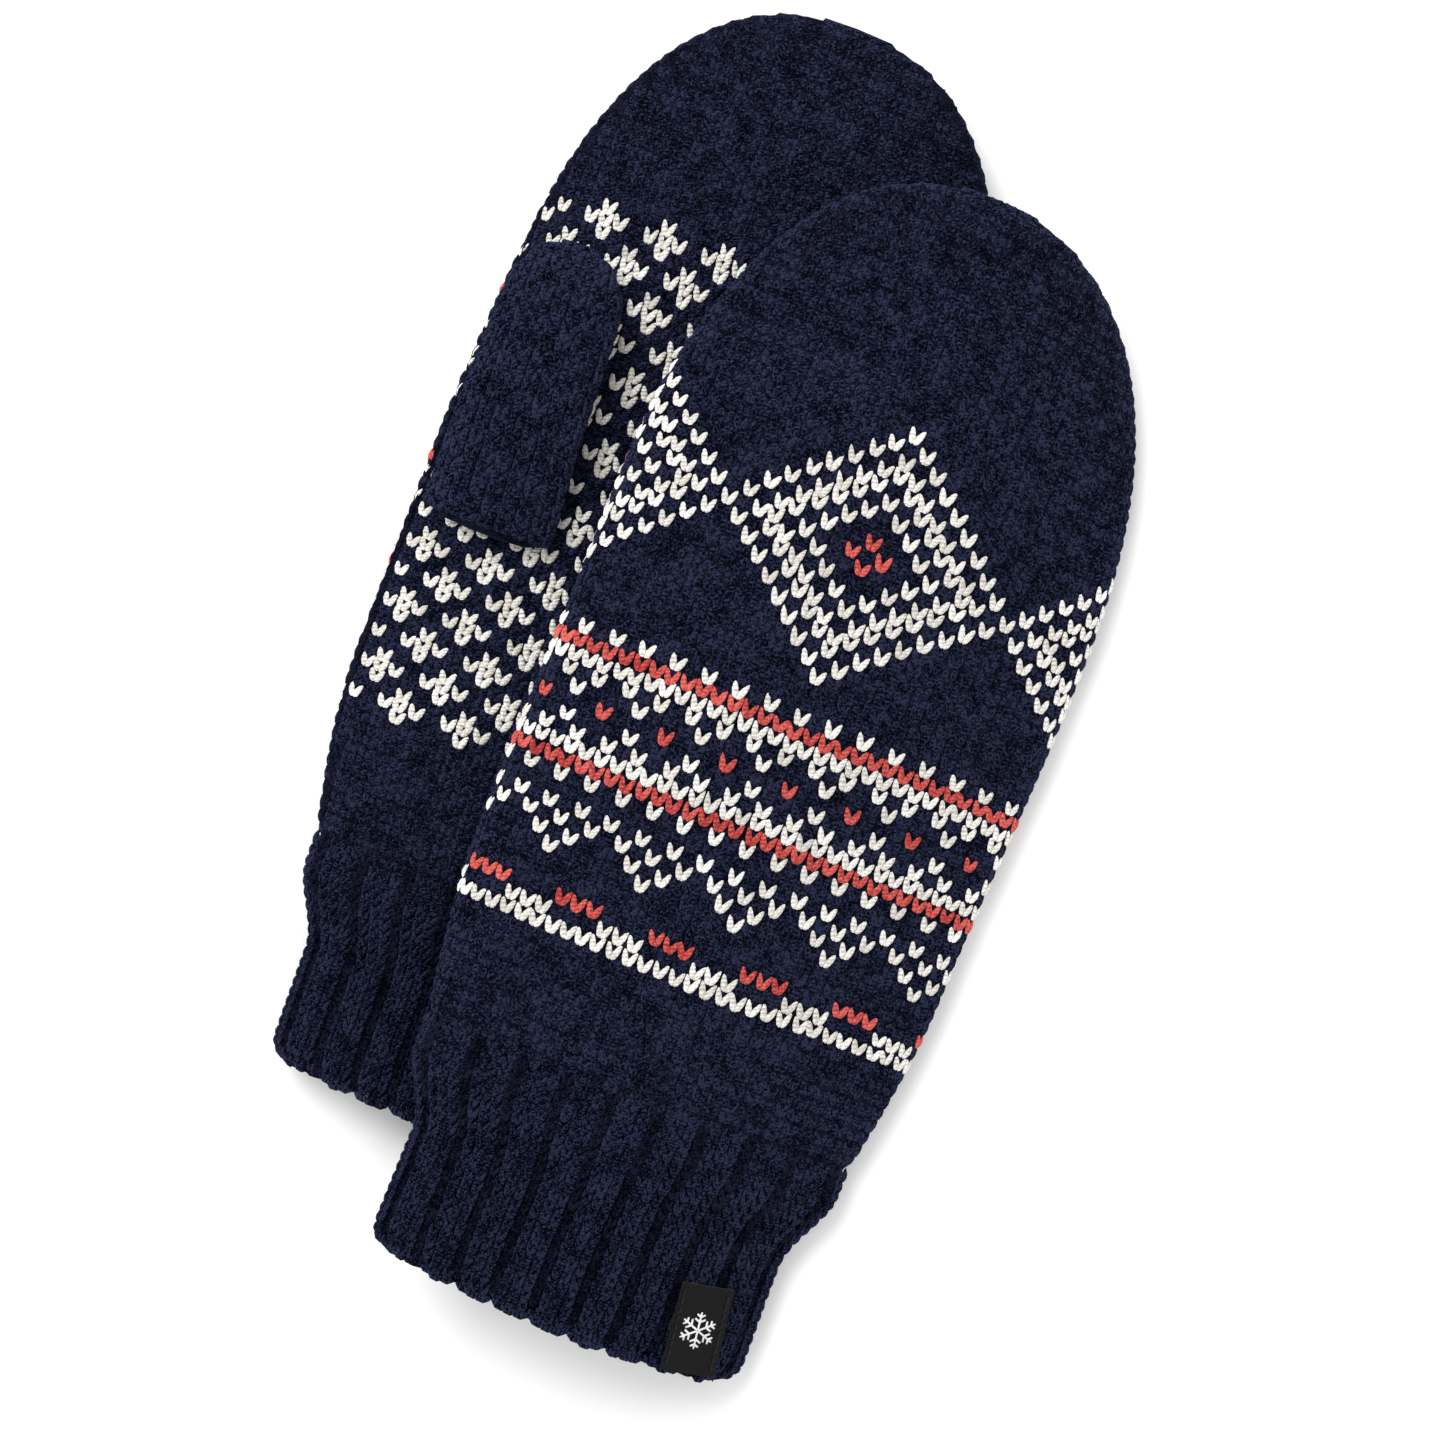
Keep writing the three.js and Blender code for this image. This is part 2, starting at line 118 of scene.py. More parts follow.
lie = {
    "shift": (41.1, 26.8),
    "leftTurn": math.radians(0.9),
    "leftBow": (2.0, -0.6),  # sideways bend at the hem and at the fingertip
    "leftHemRise": 2.3,
    "leftSpread": 1.2,  # the palm's thumb side spreads on the table
    "leftSpreadRuns": (48, (45, 40), (190, 40)),  # across, from below and from above
    "leftTip": 0.015,  # and its fingertip narrows
    "leftTipRun": (150, 60),
    "leftGive": 0.25,  # what is left of the roundness pressed against the table
    "leftMiddle": 8.6,
    "leftFlat": 7.9,
    "gap": 0.5,
    "flatten": 0.65,
    "dent": 3.7,
    "dentMargin": 16,
    "plateau": 10,
    "drape": 50,
    "drapeEdge": 6,
    "sag": 2.8,
    "rightSpread": (1.4, 0.5, 2.4),  # the upper mitten spreads over the slope: hem, seam and fingers
    "rightSpreadRuns": (48, 30, (95, 75)),  # across, up from the hem and along the fingers
    "rightHemDrop": (-1.3, 1.6),  # thumb side and outer side
    "rightHemSlope": (22, 60),
    "hemRun": 46,
    "leftThumb": (-35.1, -5.2),
    "rightThumb": (-38, 0),
    "thumbSag": 0.85,
    "thumbRoot": 5.5,
    "thumbRootRun": 30,
    "thumbFlare": 3.0,  # the thumb widens outwards at its root
}
yarn = {
    "backWale": 3.64,
    "backRow": 3.135,
    "backLean": (0.008, -0.018),  # the pattern lies a little askew on the upper mitten
    "palmWale": (3.75, 3.56),  # below the thumb and above it
    "palmRow": (2.4, 2.77),
    "palmShift": (0.7, -6.2),
    "palmEasing": (114, 44),
    "palmTurn": 131,  # where the rows change height
    "backSag": 1.6,  # the outer diamond sinks towards the mitten's edge
    "backSagRuns": ((18, 24), (14, 10)),  # across and along
    "backMotifMiddle": (1.95, 181.5),  # centre stitch of the middle diamond
    "palmMotifBase": 86.5,  # lowest row of palm stars
    "palmStarRows": 16,
    "rowSpan": (-60, 90),  # rows and wales tried; those off the hand are left out
    "waleSpan": (-22, 23),
    "wrap": 3.4,  # how far the back panel comes round to the palm side
    "sink": 0.95,  # yarn's middle below the knit's outer surface
    "jitter": 0.11,
    "turnSpread": 0.045,
    "sizeSpread": 0.035,
    "tint": 0.45,
    "tintSpread": 0.11,
    "tintEnds": (0.1, 0.95),
    "wave": (0.25, 0.11, 0.05, 0.07),  # height of the rows' ripple and its three rates
    "palmCream": (1.0, 1.22),  # the stars' stitches are tall and run together
    "navyPlump": 0.78,  # height of a navy stitch against a cream one
    "rim": 0.4,  # painted rim highlight: the wool's colour is lightened towards the mitten's edge
    "rimHighlightRun": 9,
}

half = hand["thickness"] / 2
handEnd = cuff["length"] + hand["length"]
shoulder = handEnd - hand["tip"]
cuffLow, cuffHigh = (np.array(corner) * 1000 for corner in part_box("right_cuff"))
rightOrigin = ((cuffLow[0] + cuffHigh[0]) / 2, cuffLow[1])
leftOrigin = (rightOrigin[0] - lie["shift"][0], rightOrigin[1] + lie["shift"][1])
rng = np.random.default_rng(11)


def smooth(share):
    part = np.clip(share, 0, 1)
    return part * part * (3 - 2 * part)


def cushion(level, power=hand["sectionPower"]):
    return np.maximum(0, 1 - np.abs(level) ** power) ** (1 / power)


# Outlines and sections

def handHalfWidth(y):
    share = np.clip((y - cuff["length"]) / hand["swell"], 0, 1)
    swell = (hand["width"] - hand["seamWidth"]) * (1 - (1 - share) ** hand["swellPower"])
    past = np.clip((y - shoulder) / hand["tip"], 0, 1)
    pinch = hand["seamPinch"] * (1 - smooth((y - cuff["length"]) / hand["pinchRun"]))
    full = (hand["seamWidth"] + swell) / 2 - pinch
    return full * (1 - past ** hand["tipPower"]) ** (1 / hand["tipPower"])


def handHeight(x, y):
    thick = hand["seamThickness"] + (hand["thickness"] - hand["seamThickness"]) * smooth(
        (y - cuff["length"]) / hand["thicknessRun"])
    pinch = hand["seamPinch"] * (1 - smooth((y - cuff["length"]) / hand["pinchRun"]))
    past = np.clip((y - shoulder) / hand["tip"], 0, 1)
    full = handHalfWidth(np.minimum(y, shoulder))
    level = (np.abs(x / full) ** hand["tipPower"] + past ** hand["tipPower"]) ** (1 / hand["tipPower"])
    return (thick / 2 - pinch) * cushion(np.minimum(level, 1))


def cuffHalfWidth(y):
    flare = smooth((y - cuff["flareStart"]) / cuff["flare"])
    corner = cuff["corner"] - np.minimum(y, cuff["corner"])
    rounding = cuff["corner"] - np.sqrt(cuff["corner"] ** 2 - np.minimum(corner, cuff["corner"]) ** 2)
    return (cuff["hemWidth"] + (cuff["topWidth"] - cuff["hemWidth"]) * flare) / 2 - rounding


def cuffHeight(x, y):
    pinch = cuff["topPinch"] * smooth((y - cuff["length"] + cuff["topPinchRun"]) / cuff["topPinchRun"])
    return (cuff["thickness"] / 2 - pinch) * cushion(np.minimum(np.abs(x / cuffHalfWidth(y)), 1))


def thumbSize(y):
    base = np.clip((thumb["base"] - y) / thumb["base"], 0, 1)
    tip = np.clip((y - thumb["length"] + thumb["tip"]) / thumb["tip"], 0, 1)
    rounding = (1 - base ** thumb["basePower"]) ** (1 / thumb["basePower"])
    return rounding * (1 - tip ** thumb["tipPower"]) ** (1 / thumb["tipPower"])


def thumbHalfWidth(y):
    return thumb["width"] / 2 * thumbSize(y)


def thumbHeight(x, y):
    size = np.maximum(thumbSize(y), 1e-4)
    return thumb["thickness"] / 2 * size * cushion(np.minimum(np.abs(x / (thumb["width"] / 2 * size)), 1))


# A face is charted by arc length: s across from its middle line, t along its middle line.
def chart(halfWidth, height, start, end, openEnds, rows=260, columns=72):
    angle = np.linspace(0, math.pi, rows * 2)
    y = start + (end - start) * (1 - np.cos(angle)) / 2
    y = np.concatenate([y, np.linspace(start, end, rows * 2)])
    y = np.unique(np.clip(y, start, end))
    crown = height(np.zeros_like(y), y)
    t = np.concatenate([[0], np.cumsum(np.hypot(np.diff(y), np.diff(crown)))])
    even = np.linspace(0, t[-1], rows)
    yEven = np.interp(even, t, y)
    share = np.sin(np.linspace(0, math.pi / 2, 160))
    x = halfWidth(yEven)[:, None] * share
    z = height(x, yEven[:, None] + 0 * x)
    z[:, -1] = 0
    s = np.concatenate([np.zeros((rows, 1)), np.cumsum(np.hypot(np.diff(x), np.diff(z)), 1)], 1)
    reach = np.maximum(s[:, -1], 1e-3)
    u = np.linspace(0, 1, columns)
    points = np.zeros((rows, columns, 3))
    for i in range(rows):
        points[i, :, 0] = np.interp(u, s[i] / reach[i], x[i])
        points[i, :, 2] = np.interp(u, s[i] / reach[i], z[i])
        points[i, :, 1] = yEven[i]
    across = np.gradient(points, axis=1)
    along = np.gradient(points, axis=0)
    normal = np.cross(across, along)
    normal /= np.maximum(np.linalg.norm(normal, axis=2, keepdims=True), 1e-9)
    normal[:, 0, 0] = 0
    normal[:, -1] = normal[:, -1] * (1, 1, 0) + (1e-6, 0, 0)
    normal /= np.maximum(np.linalg.norm(normal, axis=2, keepdims=True), 1e-9)
    return {"points": points, "normals": normal, "reach": reach, "length": t[-1], "y": yEven, "t": even,
            "openEnds": openEnds}


def reachAt(table, t):
    return np.interp(t, table["t"], table["reach"])


def tAt(table, y):
    return float(np.interp(y, table["y"], table["t"]))


# Flat-layout point at s, t and height c over the face. Past its edge a face runs on round the other one.
def onFace(table, face, s, t, c):
    rows, columns = table["points"].shape[:2]
    openLow, openHigh = table["openEnds"]
    beyond = np.minimum(t, 0) * openLow + np.maximum(t - table["length"], 0) * openHigh
    t = np.clip(t, 0, table["length"])
    reach = reachAt(table, t)
    side = np.where(s < 0, -1.0, 1.0)
    u = np.abs(s) / reach
    over = u > 1
    u = np.clip(np.where(over, 2 - u, u), 0, 1) * (columns - 1)
    row = t / table["length"] * (rows - 1)
    r0, c0 = np.minimum(row.astype(int), rows - 2), np.minimum(u.astype(int), columns - 2)
    fr, fc = (row - r0)[:, None], (u - c0)[:, None]

    def read(grid):
        low = grid[r0, c0] * (1 - fc) + grid[r0, c0 + 1] * fc
        high = grid[r0 + 1, c0] * (1 - fc) + grid[r0 + 1, c0 + 1] * fc
        return low * (1 - fr) + high * fr

    turned = np.stack([side, np.ones_like(side), np.where(over, -face, face)], 1)
    normal = read(table["normals"])
    normal /= np.maximum(np.linalg.norm(normal, axis=1, keepdims=True), 1e-9)
    points = (read(table["points"]) + normal * c[:, None]) * turned
    points[:, 1] += beyond
    return points


# Laying a flat layout in place

def layLeft(p):
    x, y, z = p.T
    middle = handEnd / 2
    bow = np.where(y < middle, lie["leftBow"][0], lie["leftBow"][1])
    narrowFrom, narrowRun = lie["leftTipRun"]
    x = x * (1 - lie["leftTip"] * smooth((y - narrowFrom) / narrowRun)) + bow * ((y - middle) / middle) ** 2
    sideRun, (low, lowRun), (high, highRun) = lie["leftSpreadRuns"]
    palm = smooth((y - low) / lowRun) * smooth((high - y) / highRun)
    x = x - lie["leftSpread"] * smooth(-x / sideRun) * palm
    y = y + lie["leftHemRise"] * (1 - smooth(y / lie["hemRun"]))
    c, s = math.cos(lie["leftTurn"]), math.sin(lie["leftTurn"])
    z = np.maximum(z, -lie["leftFlat"] + lie["leftGive"] * np.minimum(z + lie["leftFlat"], 0))
    return np.stack([
        x * c - y * s + middle * s + leftOrigin[0],
        x * s + y * c + middle * (1 - c) + leftOrigin[1],
        z + lie["leftMiddle"],
    ], 1)


stack = lie["leftMiddle"] + half + lie["gap"] + half
rightThumbThick = thumb["thickness"] * lie["flatten"]
hump = rightThumbThick + 2 * thumb["rise"] - lie["dent"]


def overThumb(x, y):
    reach = lie["plateau"] + lie["dentMargin"]
    low = cuff["length"] + thumb["start"] - reach
    high = low + thumb["length"] + 2 * reach
    right = lie["rightThumb"][0] + thumb["width"] / 2 + reach
    margin = lie["dentMargin"]
    return smooth((right - x) / margin) * smooth((y - low) / margin) * smooth((high - y) / margin)


def drapeHeight(x, y):
    low = half - lie["sag"]
    across = smooth((hand["width"] / 2 - lie["drapeEdge"] - x) / lie["drape"])
    return low + (stack - low) * across + hump * overThumb(x, y)


def layRight(p):
    x, y, z = p.T
    pressed = np.where(z > 0, z * (1 - lie["dent"] * overThumb(x, y) / half), z)
    z = drapeHeight(x, y) - pressed
    inner, outer = lie["rightHemDrop"]
    slopeFrom, slopeRun = lie["rightHemSlope"]
    drop = (inner + (outer - inner) * smooth((x + slopeFrom) / slopeRun)) * (1 - smooth(y / lie["hemRun"]))
    hem, seamed, fingers = lie["rightSpread"]
    sideRun, hemRun, (low, fingerRun) = lie["rightSpreadRuns"]
    spread = seamed + (fingers - seamed) * smooth((y - low) / fingerRun)
    spread = spread + (hem - seamed) * (1 - smooth(y / hemRun))
    x = x + spread * smooth(x / sideRun)
    return np.stack([x + rightOrigin[0], y - drop + rightOrigin[1], z], 1)


def layLeftThumb(p):
    # the thumb follows the palm's curve down towards the mitten's edge and sinks into it at its root
    x, y, z = p.T
    centre, lean = lie["leftThumb"]
    x = x - lie["thumbFlare"] * (0.5 - x / thumb["width"]) * np.clip(1 - y / thumb["length"], 0, 1) ** 2
    across, along = x + centre + lean * y / thumb["length"], y + cuff["length"] + thumb["start"]
    sag = lie["thumbSag"] * (half - handHeight(np.clip(across, -50, 50), along))
    root = lie["thumbRoot"] * (1 - smooth(y / lie["thumbRootRun"]))
    height = z + half + thumb["rise"] + thumb["thickness"] / 2 - sag - root
    return layLeft(np.stack([across, along, height], 1))


def layRightThumb(p):
    x, y, z = p.T
    centre, lean = lie["rightThumb"]
    under = stack + hump - (half - lie["dent"]) - thumb["rise"] - rightThumbThick / 2
    return np.stack([
        x + centre + lean * y / thumb["length"] + rightOrigin[0],
        y + cuff["length"] + thumb["start"] + rightOrigin[1],
        under - z * lie["flatten"],
    ], 1)


handTable = chart(handHalfWidth, handHeight, cuff["length"] + 0.6, handEnd - 0.02, (True, False))
cuffTable = chart(cuffHalfWidth, cuffHeight, 0.05, cuff["length"] - 0.2, (True, True))
thumbTable = chart(thumbHalfWidth, thumbHeight, 0.01, thumb["length"] - 0.01, (False, False))
print("faces charted")

# Wool

def colour(r, g, b):
    # screen values, 0 to 255, to the shader's linear ones
    return tuple(((v / 255 + 0.055) / 1.055) ** 2.4 if v > 10 else v / 255 / 12.92
                 for v in (r, g, b)) + (1,)


def nodeOf(tree, kind, at, **settings):
    node = tree.nodes.new(kind)
    node.location = at
    for key, value in settings.items():
        setattr(node, key, value)
    return node


def mathNode(tree, operation, a, b, at):
    node = nodeOf(tree, "ShaderNodeMath", at, operation=operation)
    for socket, value in zip(node.inputs, (a, b)):
        if isinstance(value, (int, float)):
            socket.default_value = value
        else:
            tree.links.new(value, socket)
    return node.outputs[0]


def noiseNode(tree, vector, scale, detail, at):
    node = nodeOf(tree, "ShaderNodeTexNoise", at)
    node.inputs["Scale"].default_value = scale
    node.inputs["Detail"].default_value = detail
    tree.links.new(vector, node.inputs["Vector"])
    return node.outputs[0]


wool = {
    "plyTurns": 5,  # turns of the plies along one leg of a stitch
    "fibreScale": 2000,
    "cloudScale": 240,
    "reliefDepth": 0.0004,
    "roughness": 0.9,
    "sheenRoughness": 0.35,
    "specular": 0.03,
    "plyOffset": 40.0,  # every strand starts its twist elsewhere
    "fibreShare": 2.6,
    "plyRelief": 0.5,
    "shadeEnds": (0.12, 0.95),  # where the dark and light wool colours lie on the ramp
}


def makeWool(name, dark, light, sheen, sheenTint, fleck=0.5, bump=0.35, plyShading=0.12):
    material = bpy.data.materials.new(name)
    material.use_nodes = True
    tree = material.node_tree
    tree.nodes.clear()
    output = nodeOf(tree, "ShaderNodeOutputMaterial", (900, 0))
    shader = nodeOf(tree, "ShaderNodeBsdfPrincipled", (600, 0))
    tree.links.new(shader.outputs[0], output.inputs[0])
    shader.inputs["Roughness"].default_value = wool["roughness"]
    shader.inputs["Specular IOR Level"].default_value = wool["specular"]
    shader.inputs["Sheen Weight"].default_value = sheen
    shader.inputs["Sheen Roughness"].default_value = wool["sheenRoughness"]
    shader.inputs["Sheen Tint"].default_value = sheenTint
    place = nodeOf(tree, "ShaderNodeTexCoord", (-900, 0)).outputs["Object"]
    tint = nodeOf(tree, "ShaderNodeAttribute", (-900, 300), attribute_name="tint").outputs["Fac"]
    ring = nodeOf(tree, "ShaderNodeAttribute", (-900, -300), attribute_name="ring").outputs["Vector"]
    # two plies: a wave that turns round the strand as it runs along it. It drives the bump, and it also
    # paints shade into the colour between the plies, with lighter crests
    parts = nodeOf(tree, "ShaderNodeSeparateXYZ", (-700, -300))
    tree.links.new(ring, parts.inputs[0])
    turned = mathNode(tree, "MULTIPLY", parts.outputs[2], 2 * math.pi * wool["plyTurns"], (-700, -450))
    offset = mathNode(tree, "MULTIPLY", tint, wool["plyOffset"], (-700, -600))
    phase = mathNode(tree, "ADD", turned, offset, (-550, -450))
    cosine = mathNode(tree, "COSINE", phase, 0, (-400, -400))
    sine = mathNode(tree, "SINE", phase, 0, (-400, -500))
    plyA = mathNode(tree, "MULTIPLY", parts.outputs[0], cosine, (-250, -300))
    plyB = mathNode(tree, "MULTIPLY", parts.outputs[1], sine, (-250, -500))
    ply = mathNode(tree, "SUBTRACT", plyA, plyB, (-100, -400))
    fibre = noiseNode(tree, place, wool["fibreScale"], 2, (-600, 200))
    cloudy = noiseNode(tree, place, wool["cloudScale"], 2, (-600, 0))
    # the tint attribute holds each stitch's random tone plus the painted rim highlight
    amount = tint
    # the ply wave's share is painted shade and highlight between and on the plies; the fibre and cloud
    # noise are random tone
    waves = ((fibre, 0.5, wool["fibreShare"] * fleck), (cloudy, 0.5, 1.0 * fleck), (ply, 0, plyShading))
    for k, (wave, middle, share) in enumerate(waves):
        swing = mathNode(tree, "SUBTRACT", wave, middle, (-400, 200 - 150 * k))
        part = mathNode(tree, "MULTIPLY", swing, share, (-250, 200 - 150 * k))
        amount = mathNode(tree, "ADD", amount, part, (-100 + 100 * k, 150))
    ramp = nodeOf(tree, "ShaderNodeValToRGB", (250, 100))
    for stop, position, shade in zip(ramp.color_ramp.elements, wool["shadeEnds"], (dark, light)):
        stop.position, stop.color = position, shade
    tree.links.new(amount, ramp.inputs[0])
    tree.links.new(ramp.outputs[0], shader.inputs["Base Color"])
    twist = mathNode(tree, "MULTIPLY", ply, wool["plyRelief"], (50, -400))
    height = mathNode(tree, "ADD", twist, fibre, (200, -400))
    relief = nodeOf(tree, "ShaderNodeBump", (400, -300))
    relief.inputs["Strength"].default_value = bump
    relief.inputs["Distance"].default_value = wool["reliefDepth"]
    tree.links.new(height, relief.inputs["Height"])
    tree.links.new(relief.outputs[0], shader.inputs["Normal"])
    return material


navyWool = makeWool("navyWool", colour(1, 2, 11), colour(42, 44, 68), 0.11, (0.3, 0.45, 1, 1),
                    fleck=2.2, plyShading=0.36, bump=0.9)
# darker copy of the navy wool, painted shade: it colours the cloth that shows in the gaps between stitches,
# the rib grooves and the side seam line
navyShadeWool = makeWool("navyShadeWool", colour(1, 2, 9), colour(26, 28, 46), 0.05, (0.4, 0.5, 0.9, 1),
                      fleck=1.4, bump=0.5)
creamWool = makeWool("creamWool", colour(192, 187, 178), colour(250, 248, 243), 0.2, (1, 0.98, 0.95, 1),
                     fleck=0.8, plyShading=0.2, bump=0.6)
coralWool = makeWool("coralWool", colour(154, 50, 48), colour(220, 104, 96), 0.2, (1, 0.85, 0.8, 1),
                     fleck=0.9, plyShading=0.2, bump=0.6)
liningFleece = makeWool("liningFleece", colour(44, 48, 70), colour(96, 102, 128), 0.4, (0.6, 0.7, 1, 1),
                        fleck=1.2, bump=0.8)
print("wool dyed")

# Yarn shapes

def yarnStrand(bm, rings, sides=6):
    # rings: (x, y, z, halfWidth, halfHeight) along the strand, which runs mostly along y
    upright = Matrix.Rotation(math.pi / 2, 4, "X")
    first = bmesh.ops.create_circle(bm, cap_ends=True, segments=sides, radius=1, matrix=upright)
    verts = first["verts"]
    face = next(f for f in bm.faces if all(v in verts for v in f.verts))
    strandVerts = []
    for i, (x, y, z, wide, high) in enumerate(rings):
        if i:
            grown = bmesh.ops.extrude_face_region(bm, geom=[face])["geom"]
            verts = [g for g in grown if isinstance(g, bmesh.types.BMVert)]
            face = next(g for g in grown if isinstance(g, bmesh.types.BMFace))
        middle = sum((v.co for v in verts), Vector()) / len(verts)
        before = rings[i - 1] if i else (0, 0, 0, 1, 1)
        bmesh.ops.translate(bm, verts=verts, vec=-middle)
        bmesh.ops.scale(bm, verts=verts, vec=(wide / before[3], 1, high / before[4]))
        bmesh.ops.translate(bm, verts=verts, vec=(x, y, z))
        strandVerts.append(list(verts))
    return strandVerts


def templateFrom(build):
    bm = bmesh.new()
    ringLayer = bm.verts.layers.float_vector.new("ring")
    strands = build(bm)
    for rings in strands:
        for k, verts in enumerate(rings):
            middle = sum((v.co for v in verts), Vector()) / len(verts)
            for v in verts:
                away = v.co - middle
                around = math.atan2(away.z, away.x)
                v[ringLayer] = (math.cos(2 * around), math.sin(2 * around), k / (len(rings) - 1))
    bmesh.ops.recalc_face_normals(bm, faces=bm.faces[:])
    bm.verts.index_update()
    template = {
        "points": np.array([v.co[:] for v in bm.verts]),
        "rings": np.array([v[ringLayer][:] for v in bm.verts]),
        "corners": np.concatenate([[v.index for v in f.verts] for f in bm.faces]),
        "sizes": np.array([len(f.verts) for f in bm.faces]),
    }
    bm.free()
    return template


# One knit stitch: two plump legs that meet at the foot and lean apart, in shares of wale and row.
# Each ring is across, along, height, half width and half height; heights are in depths.
stitchShape = {
    "legs": [(0.06, -0.64, -0.16, 0.08, 0.14), (0.15, -0.42, 0.08, 0.18, 0.28),
             (0.225, -0.03, 0.18, 0.245, 0.36), (0.33, 0.34, 0.08, 0.17, 0.28),
             (0.43, 0.69, -0.16, 0.045, 0.10)],
    "bump": [(-0.5, 0, -0.1, 0.14, 0.2), (-0.2, 0.1, 0.12, 0.34, 0.42), (0.2, 0.1, 0.12, 0.34, 0.42),
             (0.5, 0, -0.1, 0.14, 0.2)],
    "depth": 1.45,
}


def buildStitch(bm, sides=6):
    strands = []
    for side in (-1, 1):
        rings = [(side * x, y, z, wide, high) for x, y, z, wide, high in stitchShape["legs"]]
        strands.append(yarnStrand(bm, rings, sides))
    return strands


def buildPlain(bm):
    return buildStitch(bm, 5)


def buildInner(bm):
    strands = buildPlain(bm)
    bmesh.ops.scale(bm, verts=bm.verts[:], vec=(1, 1, -1))
    return strands


def buildPurl(bm):
    # a strand across the wale, made upright and then turned over
    rings = [(y, x, z, wide, high) for x, y, z, wide, high in stitchShape["bump"]]
    strands = [yarnStrand(bm, rings, 5)]
    bmesh.ops.rotate(bm, verts=bm.verts[:], matrix=Matrix.Rotation(-math.pi / 2, 3, "Z"))
    return strands


knitStitch = templateFrom(buildStitch)
plainStitch = templateFrom(buildPlain)
innerStitch = templateFrom(buildInner)
purlBump = templateFrom(buildPurl)


def meshPiece(name, points, corners, sizes, material, rings, tint=None):
    mesh = bpy.data.meshes.new(name)
    starts = np.concatenate([[0], np.cumsum(sizes)[:-1]])
    mesh.vertices.add(len(points))
    mesh.vertices.foreach_set("co", (points * 0.001).astype(np.float32).ravel())
    mesh.loops.add(len(corners))
    mesh.loops.foreach_set("vertex_index", corners.astype(np.int32))
    mesh.polygons.add(len(sizes))
    mesh.polygons.foreach_set("loop_start", starts.astype(np.int32))
    mesh.polygons.foreach_set("loop_total", sizes.astype(np.int32))
    mesh.update(calc_edges=True)
    mesh.polygons.foreach_set("use_smooth", np.ones(len(sizes), bool))
    mesh.attributes.new("ring", "FLOAT_VECTOR", "POINT").data.foreach_set(
        "vector", rings.astype(np.float32).ravel())
    mesh.attributes.new("tint", "FLOAT", "POINT").data.foreach_set(
        "value", (np.full(len(points), yarn["tint"]) if tint is None else tint).astype(np.float32))
    mesh.materials.append(material)
    piece = bpy.data.objects.new(name, mesh)
    bpy.context.scene.collection.objects.link(piece)
    return piece


# Stamps one yarn shape at every place: columns s, t, width, row, lift of its middle, half-face sign.
def stampStitches(name, template, places, table, lay, mirrored, material):
    count, size = len(places), len(template["points"])
    s0, t0, wale, row, lift, face = places.T
    turn = rng.normal(0, yarn["turnSpread"], count)
    grow = 1 + rng.normal(0, yarn["sizeSpread"], (count, 2))
    nudge = rng.normal(0, yarn["jitter"], (count, 2))
    # painted rim highlight: stitches towards the mitten's edge get a lighter tint
    rim = smooth((np.abs(s0) - reachAt(table, t0)) / yarn["rimHighlightRun"] + 1)
    tint = yarn["tint"] + rng.normal(0, yarn["tintSpread"], count) + yarn["rim"] * rim
    tint = np.clip(tint, *yarn["tintEnds"])
    plump = stitchShape["depth"] * (yarn["navyPlump"] if material is navyWool else 1)
    a = template["points"][None, :, 0] * (wale * grow[:, 0])[:, None]
    b = template["points"][None, :, 1] * (row * grow[:, 1])[:, None]
    c = template["points"][None, :, 2] * plump + (lift - yarn["sink"])[:, None]
    cosine, sine = np.cos(turn)[:, None], np.sin(turn)[:, None]
    s = s0[:, None] + a * cosine - b * sine + nudge[:, :1]
    t = t0[:, None] + a * sine + b * cosine + nudge[:, 1:]
    wavy, across, along, slow = yarn["wave"]
    t = t + wavy * np.sin(s * across + t * along) * np.cos(t * slow)
    faceEach = np.repeat(face, size)
    points = onFace(table, faceEach, s.ravel(), t.ravel(), c.ravel())
    corners = (template["corners"][None] + (np.arange(count) * size)[:, None]).ravel()
    sizes = np.tile(template["sizes"], count)
    # stitches on the palm side of a mirrored mitten, or the back of a plain one, are inside out
    inverted = face * (-1 if mirrored else 1) < 0
    if inverted.any():
        order = corners.reshape(count, -1)
        block = template["sizes"]
        starts = np.concatenate([[0], np.cumsum(block)[:-1]])
        reverse = np.concatenate([np.arange(n)[::-1] + k for n, k in zip(block, starts)])
        order[inverted] = order[inverted][:, reverse]
        corners = order.ravel()
    return meshPiece(name, lay(points), corners, sizes, material,
                     np.tile(template["rings"], (count, 1)), np.repeat(tint, size))


# Charts of the colour pattern

def backColour(wale, row):
    # wale and row count from the centre stitch of the middle diamond
    across = (wale + 9) % 18 - 9
    distance = abs(across) + abs(row)
    if abs(row) <= 9 and distance <= 9:
        return {9: "cream", 7: "cream", 6: "cream", 4: "cream", 1: "coral"}.get(distance, "navy")
    bands = {
        -12: ("cream", lambda c: c % 2 == 0), -13: ("coral", None), -14: ("cream", None),
        -15: ("cream", lambda c: c % 2 == 0), -16: ("cream", lambda c: c % 4 == 3),
        -17: ("coral", lambda c: c % 4 == 1), -18: ("cream", lambda c: c % 4 == 3),
        -19: ("cream", lambda c: c % 2 == 0), -20: ("cream", None), -21: ("coral", None),
        -22: ("cream", lambda c: c % 2 == 0), -24: ("cream", lambda c: c % 2 == 0),
        -25: ("cream", lambda c: c % 2 == 1), -26: ("cream", lambda c: c % 6 in (0, 2)),
        -27: ("cream", lambda c: c % 6 == 1), -30: ("coral", lambda c: c % 6 in (3, 4, 5)),
        -31: ("cream", lambda c: c % 6 in (0, 1, 2)), -32: ("cream", None),
    }
    if row in bands:
        shade, where = bands[row]
        return shade if where is None or where(wale) else "navy"
    return "navy"


